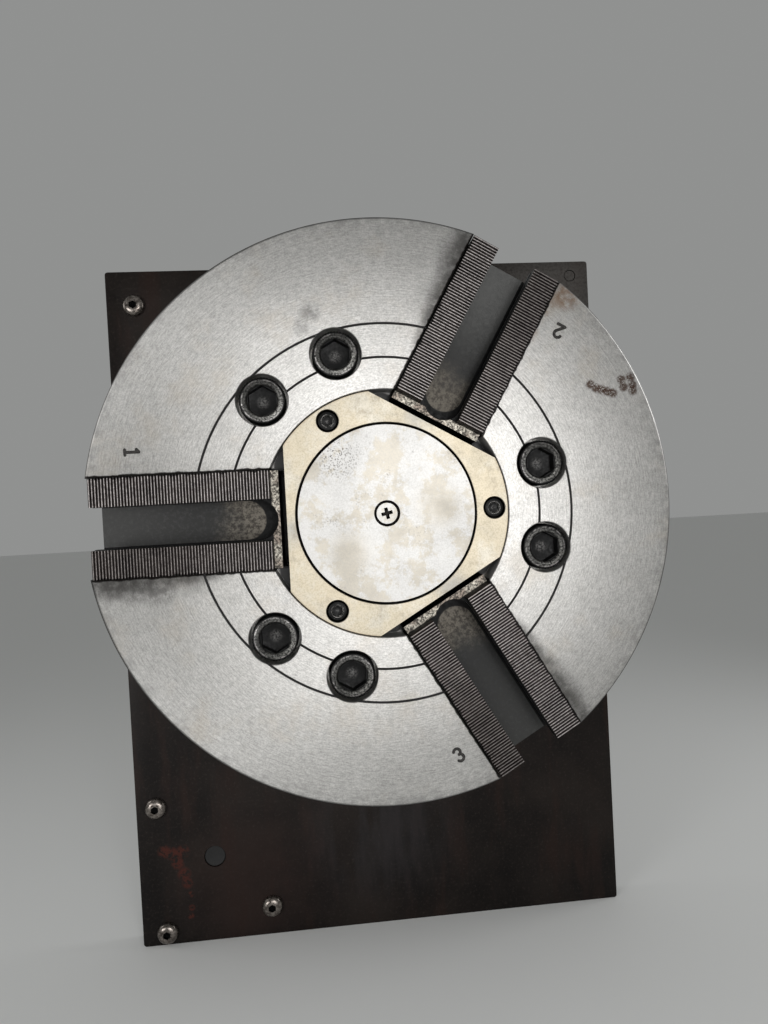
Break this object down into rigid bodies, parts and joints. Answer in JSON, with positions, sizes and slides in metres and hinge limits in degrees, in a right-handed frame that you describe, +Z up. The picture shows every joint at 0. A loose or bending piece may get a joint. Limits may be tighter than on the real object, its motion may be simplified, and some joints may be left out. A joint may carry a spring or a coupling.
{
  "type": "three-jaw power chuck on headstock plate",
  "caption": "Round power chuck with sliding serrated master jaws on a spindle nose, in front of a dark headstock plate; it grips work and turns it.",
  "frame": {"origin": "on the spindle axis, on the flat back face of the headstock plate and housing", "axes": "+Y along the spindle into the machine, +Z up, +X to the right for someone facing the chuck"},
  "size_m": [0.35, 0.18, 0.48],
  "materials": {
    "plate_steel": "dark oxidised steel, matte",
    "housing_iron": "machined",
    "screw_steel": "worn bright steel",
    "plug_black": "matte black",
    "ground_steel": "ground",
    "chuck_steel": "fine turned, satin",
    "black_oxide": "black oxide, oiled",
    "cover_gilt": "pale gilt passivated, turned",
    "cap_steel": "bright turned",
    "jaw_steel": "hardened, dark, oiled"
  },
  "bodies": {
    "headstock": {"headstock_plate": "plate_steel", "spindle_housing": "housing_iron", "plate_screw_top_left": "screw_steel", "plate_screw_left": "screw_steel", "plate_screw_corner": "screw_steel", "plate_screw_bottom": "screw_steel", "plate_plug": "plug_black", "plate_dowel": "plate_steel"},
    "chuck": {"spindle_nose": "ground_steel", "chuck_adapter": "ground_steel", "chuck_body": "chuck_steel", "cover_ring": "cover_gilt", "centre_cap": "cap_steel", "centre_screw": "cap_steel", "mounting_bolt_1": "black_oxide", "mounting_bolt_2": "black_oxide", "mounting_bolt_3": "black_oxide", "mounting_bolt_4": "black_oxide", "mounting_bolt_5": "black_oxide", "mounting_bolt_6": "black_oxide", "cover_screw_1": "black_oxide", "cover_screw_2": "black_oxide", "cover_screw_3": "black_oxide"},
    "jaw_1": {"master_jaw_1": "jaw_steel"},
    "jaw_2": {"master_jaw_2": "jaw_steel"},
    "jaw_3": {"master_jaw_3": "jaw_steel"}
  },
  "joints": [
    {"name": "spindle_spin", "type": "hinge", "parent": "headstock", "child": "chuck", "pos_m": [0, 0, 0], "axis": [0, -1, 0], "continuous": true},
    {"name": "jaw_1_slide", "type": "slide", "parent": "chuck", "child": "jaw_1", "axis": [-1, 0, 0], "range_m": [0, 0.0053]},
    {"name": "jaw_2_slide", "type": "slide", "parent": "chuck", "child": "jaw_2", "axis": [0.5, 0, 0.866], "range_m": [0, 0.0053]},
    {"name": "jaw_3_slide", "type": "slide", "parent": "chuck", "child": "jaw_3", "axis": [0.5, 0, -0.866], "range_m": [0, 0.0053]}
  ],
  "couplings": [
    {"joint": "jaw_2_slide", "follows": "jaw_1_slide", "ratio": 1},
    {"joint": "jaw_3_slide", "follows": "jaw_1_slide", "ratio": 1}
  ]
}
